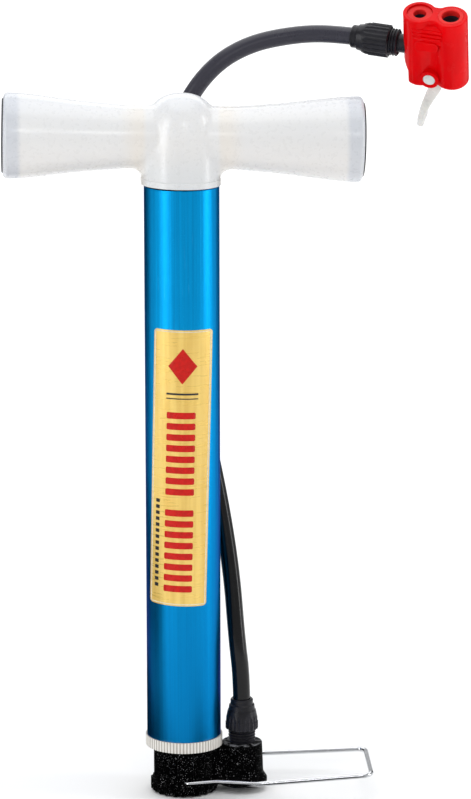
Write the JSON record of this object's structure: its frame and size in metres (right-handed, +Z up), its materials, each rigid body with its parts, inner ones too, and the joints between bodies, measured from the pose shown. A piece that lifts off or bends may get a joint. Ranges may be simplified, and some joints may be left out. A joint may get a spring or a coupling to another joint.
{
  "type": "hand air pump",
  "caption": "Slim hand pump with a blue barrel, white T handle, black base with a folding wire foot loop, and a short hose to a red twin-port valve head with a cam lever.",
  "frame": {"origin": "centre of the base's underside, on the barrel axis", "axes": "+Z up the barrel axis; +X from the barrel towards the outlet boss and the foot loop; +Y to the side the hose rises on"},
  "size_m": [0.2184, 0.0789, 0.3721],
  "materials": {
    "blue_anodised": "satin, brushed along the tube",
    "gold_foil": "metallic foil",
    "collar_white": "moulded",
    "milky_plastic": "translucent, glossy",
    "black_plastic": "fine grained",
    "black_satin": "satin",
    "bright_wire": "bright",
    "black_rubber": "satin",
    "red_gloss": "glossy",
    "white_lever": "translucent",
    "rod_steel": "plated",
    "nylon": "natural",
    "seal_rubber": "matte",
    "spring_steel": "plain",
    "brass": "plain"
  },
  "bodies": {
    "pump_body": {"barrel": "blue_anodised", "barrel_label": "gold_foil", "collar_ring": "collar_white", "base_body": "black_plastic", "outlet_union": "black_satin", "lower_hose_nut": "black_satin", "hose": "black_rubber", "upper_hose_nut": "black_satin", "head_union": "black_satin", "head_body": "red_gloss", "presta_cap": "red_gloss", "schrader_cap": "red_gloss", "lever_pin": "white_lever", "top_bush": "black_satin", "rod_wiper": "seal_rubber", "wiper_retainer": "black_satin", "top_buffer": "seal_rubber", "base_oring": "seal_rubber", "valve_seat": "brass", "check_valve_spring": "spring_steel", "lower_olive": "brass", "upper_olive": "brass", "presta_seal": "seal_rubber", "schrader_seal": "seal_rubber", "valve_depressor": "nylon"},
    "piston": {"piston_body": "nylon", "piston_cup": "seal_rubber", "piston_washer": "spring_steel"},
    "handle": {"handle_grip": "milky_plastic", "end_plug_left": "black_plastic", "end_plug_right": "black_plastic", "piston_rod": "rod_steel", "rod_top_pin": "rod_steel", "piston_nut": "spring_steel"},
    "foot_loop": {"foot_loop": "bright_wire"},
    "lever": {"head_lever": "white_lever"},
    "plunger": {"head_plunger": "nylon"},
    "check_valve": {"check_valve_disc": "seal_rubber"}
  },
  "joints": [
    {"name": "handle_slide", "type": "slide", "parent": "pump_body", "child": "piston", "axis": [0, 0, 1], "range_m": [0, 0.21]},
    {"name": "handle_turn", "type": "hinge", "parent": "piston", "child": "handle", "pos_m": [0, 0, 0.3], "axis": [0, 0, 1], "range_deg": [-35, 5]},
    {"name": "foot_loop_fold", "type": "hinge", "parent": "pump_body", "child": "foot_loop", "pos_m": [0.0002, 0, 0.0075], "axis": [0, -1, 0], "range_deg": [-6, 60]},
    {"name": "lever_flip", "type": "hinge", "parent": "pump_body", "child": "lever", "pos_m": [0.11883, 0.0315, 0.33933], "axis": [0.3214, 0.7884, 0.5245], "range_deg": [0, 75]},
    {"name": "plunger_slide", "type": "slide", "parent": "pump_body", "child": "plunger", "axis": [-0.0788, -0.5297, 0.8445], "range_m": [-0.0006, 0]},
    {"name": "check_valve_lift", "type": "slide", "parent": "pump_body", "child": "check_valve", "axis": [0, 0, 1], "range_m": [0, 0.0012], "stiffness_N_per_m": 50, "deforming": ["check_valve_spring"]}
  ],
  "couplings": [
    {"joint": "plunger_slide", "follows": "lever_flip", "m_per_rad": -0.00045}
  ]
}
